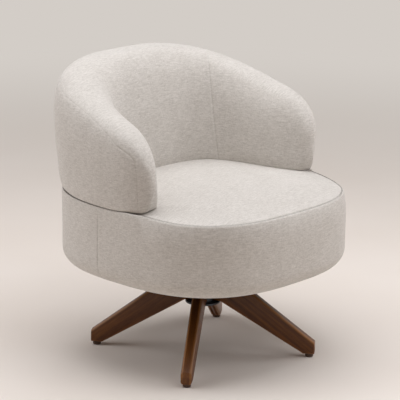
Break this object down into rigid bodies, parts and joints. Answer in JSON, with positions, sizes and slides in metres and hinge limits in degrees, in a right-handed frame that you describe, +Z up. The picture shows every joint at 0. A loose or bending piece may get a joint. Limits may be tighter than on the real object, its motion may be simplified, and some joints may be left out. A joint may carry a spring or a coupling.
{
  "type": "swivel barrel chair",
  "caption": "Low upholstered tub chair: drum seat with a wrapped horseshoe back and arms, turning freely on a hub with splayed wooden legs.",
  "frame": {"origin": "on the floor, on the swivel axis", "axes": "+Z up along the swivel axis; the chair faces -Y; +X is the sitter's left"},
  "size_m": [0.7068, 0.6873, 0.762],
  "materials": {
    "walnut": "satin",
    "plywood": "matte",
    "fibreboard": "matte",
    "upholstery": "matte",
    "foam": "matte",
    "webbing": "matte",
    "dust_cloth": "matte",
    "black_plastic": "matte",
    "swivel_steel": "satin",
    "zinc_steel": "satin"
  },
  "bodies": {
    "base": {"leg_front_left": "walnut", "leg_rear_left": "walnut", "leg_rear_right": "walnut", "leg_front_right": "walnut", "foot_glides": "black_plastic", "leg_inserts": "zinc_steel", "leg_bolts_top": "zinc_steel", "leg_bolts_bottom": "zinc_steel", "hub_tube": "swivel_steel", "hub_top_flange": "swivel_steel", "hub_bottom_flange": "swivel_steel", "hub_cap": "black_plastic", "lower_swivel_plate": "swivel_steel", "plate_bolts": "zinc_steel", "plate_nuts": "zinc_steel", "pivot_bolt": "zinc_steel", "pivot_nut": "zinc_steel"},
    "ball_ring": {"ball_cage": "black_plastic", "bearing_balls": "zinc_steel"},
    "seat": {"upper_swivel_plate": "swivel_steel", "thrust_washer": "black_plastic", "seat_bolts": "zinc_steel", "seat_tee_nuts": "zinc_steel", "seat_base_board": "plywood", "seat_blocks": "plywood", "seat_rim": "plywood", "seat_wall_panel": "fibreboard", "seat_webbing_long": "webbing", "seat_webbing_cross": "webbing", "seat_foam": "foam", "seat_top_pad": "upholstery", "seat_wall_pad": "upholstery", "dust_cover": "dust_cloth", "back_bolts": "zinc_steel", "back_bolt_washers": "zinc_steel", "back_spacers": "zinc_steel", "back_bottom_rail": "plywood", "back_tee_nuts": "zinc_steel", "back_posts": "plywood", "back_top_rail": "plywood", "back_outer_panel": "fibreboard", "back_webbing": "webbing", "back_cushion": "upholstery"}
  },
  "joints": [
    {"name": "seat_swivel", "type": "hinge", "parent": "base", "child": "seat", "pos_m": [0, 0, 0.24], "axis": [0, 0, 1], "continuous": true},
    {"name": "cage_turn", "type": "hinge", "parent": "base", "child": "ball_ring", "pos_m": [0, 0, 0.24], "axis": [0, 0, 1], "continuous": true}
  ],
  "couplings": [
    {"joint": "cage_turn", "follows": "seat_swivel", "ratio": 0.5}
  ]
}
